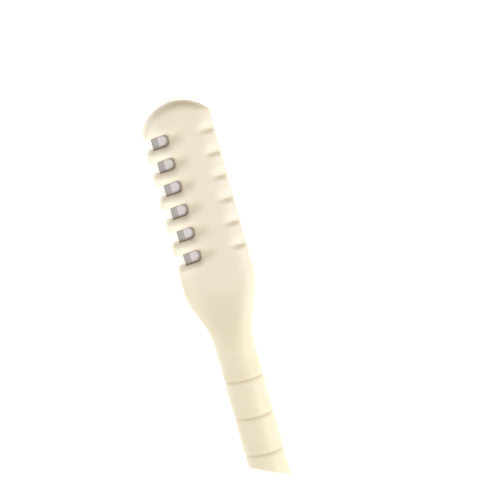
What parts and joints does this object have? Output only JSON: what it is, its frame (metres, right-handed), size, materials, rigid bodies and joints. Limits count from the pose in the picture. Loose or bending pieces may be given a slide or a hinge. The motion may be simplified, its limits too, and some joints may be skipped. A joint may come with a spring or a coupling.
{
  "type": "flea comb",
  "caption": "Cream plastic pet comb with a guarded steel strip blade along one side, a ringed round handle and a rear cover that slides off to change the blade.",
  "frame": {"origin": "centre of the bounding box in X and Y, on the back of the head where the comb lies", "axes": "+X along the tool from the head to the handle, +Y towards the plain spine (the guard fingers point to -Y), +Z out of the front face"},
  "size_m": [0.1152, 0.0218, 0.0117],
  "materials": {
    "cream_plastic": "satin moulded ABS, fine texture",
    "blade_steel": "polished flat with a ground bevel",
    "plate_steel": "pressed sheet, satin",
    "pin_steel": "turned, bright zinc"
  },
  "bodies": {
    "comb_body": {"front_body": "cream_plastic", "front_handle_shell": "cream_plastic", "rear_handle_shell": "cream_plastic", "blade": "blade_steel", "blade_clamp_plate": "plate_steel", "blade_peg_1": "pin_steel", "blade_peg_2": "pin_steel", "shell_screw_1": "pin_steel", "shell_screw_2": "pin_steel", "shell_screw_3": "pin_steel"},
    "cover": {"rear_cover": "cream_plastic"}
  },
  "joints": [
    {"name": "cover_slide", "type": "slide", "parent": "comb_body", "child": "cover", "axis": [-1, 0, 0], "range_m": [0, 0.05]}
  ]
}
